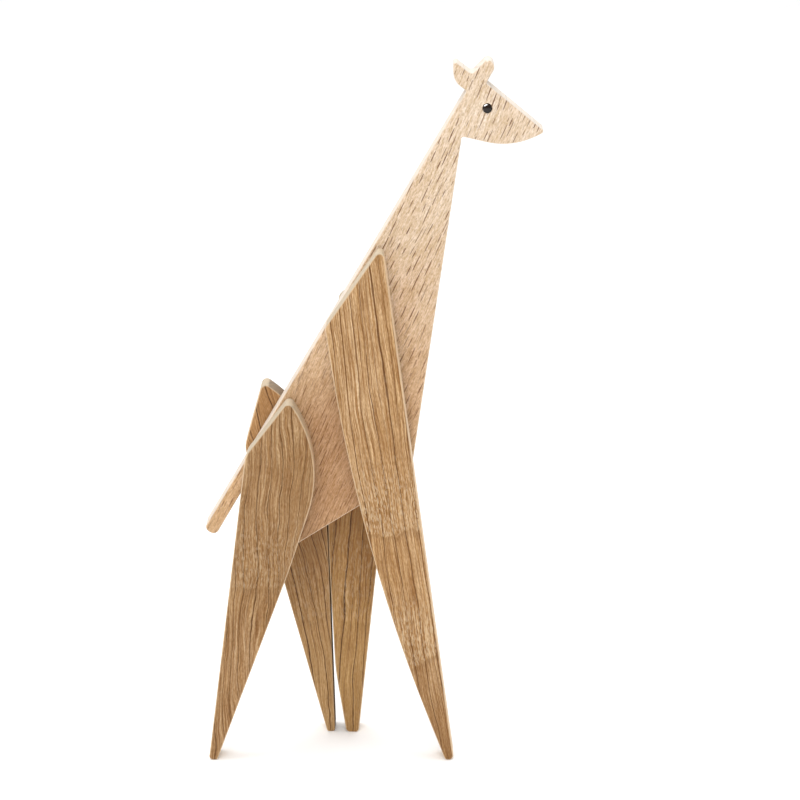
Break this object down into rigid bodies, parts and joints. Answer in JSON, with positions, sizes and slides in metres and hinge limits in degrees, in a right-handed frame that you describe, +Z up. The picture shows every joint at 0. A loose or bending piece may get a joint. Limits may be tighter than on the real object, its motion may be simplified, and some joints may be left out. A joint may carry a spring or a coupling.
{
  "type": "wooden animal figurine",
  "caption": "Flat-board wooden giraffe figurine with magnet-held legs that swivel and pull off, standing free on its feet.",
  "frame": {"origin": "on the floor the feet stand on, below the middle of the figure's box", "axes": "+X towards the nose, +Y towards the giraffe's left side, +Z up"},
  "size_m": [0.0923, 0.0272, 0.1972],
  "materials": {
    "beech_board": "satin oiled beech with fine dark ray flecks",
    "oak_leg": "satin oiled oak with open grain and dark growth lines",
    "magnet_nickel": "bright nickel plate with fine handling scratches",
    "eye_black": "gloss black bead"
  },
  "bodies": {
    "body": {"body_board": "beech_board", "right_eye": "eye_black", "left_eye": "eye_black", "front_right_body_magnet": "magnet_nickel", "front_left_body_magnet": "magnet_nickel", "hind_right_body_magnet": "magnet_nickel", "hind_left_body_magnet": "magnet_nickel"},
    "front_right_magnet": {"front_right_leg_magnet": "magnet_nickel"},
    "front_left_magnet": {"front_left_leg_magnet": "magnet_nickel"},
    "hind_right_magnet": {"hind_right_leg_magnet": "magnet_nickel"},
    "hind_left_magnet": {"hind_left_leg_magnet": "magnet_nickel"},
    "front_right_leg": {"front_right_leg": "oak_leg"},
    "front_left_leg": {"front_left_leg": "oak_leg"},
    "hind_right_leg": {"hind_right_leg": "oak_leg"},
    "hind_left_leg": {"hind_left_leg": "oak_leg"}
  },
  "joints": [
    {"name": "front_right_pull_off", "type": "slide", "parent": "body", "child": "front_right_magnet", "axis": [0, -0.9999, 0.014], "range_m": [0, 0.03]},
    {"name": "front_left_pull_off", "type": "slide", "parent": "body", "child": "front_left_magnet", "axis": [0, 0.9999, 0.014], "range_m": [0, 0.03]},
    {"name": "hind_right_pull_off", "type": "slide", "parent": "body", "child": "hind_right_magnet", "axis": [0, -0.9997, 0.0244], "range_m": [0, 0.03]},
    {"name": "hind_left_pull_off", "type": "slide", "parent": "body", "child": "hind_left_magnet", "axis": [0, 0.9997, 0.0244], "range_m": [0, 0.03]},
    {"name": "front_right_swivel", "type": "hinge", "parent": "front_right_magnet", "child": "front_right_leg", "pos_m": [0.00485, -0.008, 0.1144], "axis": [0, -0.9999, 0.014], "range_deg": [-13.6, 18.2]},
    {"name": "front_left_swivel", "type": "hinge", "parent": "front_left_magnet", "child": "front_left_leg", "pos_m": [0.00485, 0.008, 0.1144], "axis": [0, -0.9999, -0.014], "range_deg": [0, 31.8]},
    {"name": "hind_right_swivel", "type": "hinge", "parent": "hind_right_magnet", "child": "hind_right_leg", "pos_m": [-0.0292, -0.008, 0.08505], "axis": [0, -0.9997, 0.0244], "range_deg": [-19.2, 21.6]},
    {"name": "hind_left_swivel", "type": "hinge", "parent": "hind_left_magnet", "child": "hind_left_leg", "pos_m": [-0.0292, 0.008, 0.08505], "axis": [0, -0.9997, -0.0244], "range_deg": [-41, 0]}
  ]
}
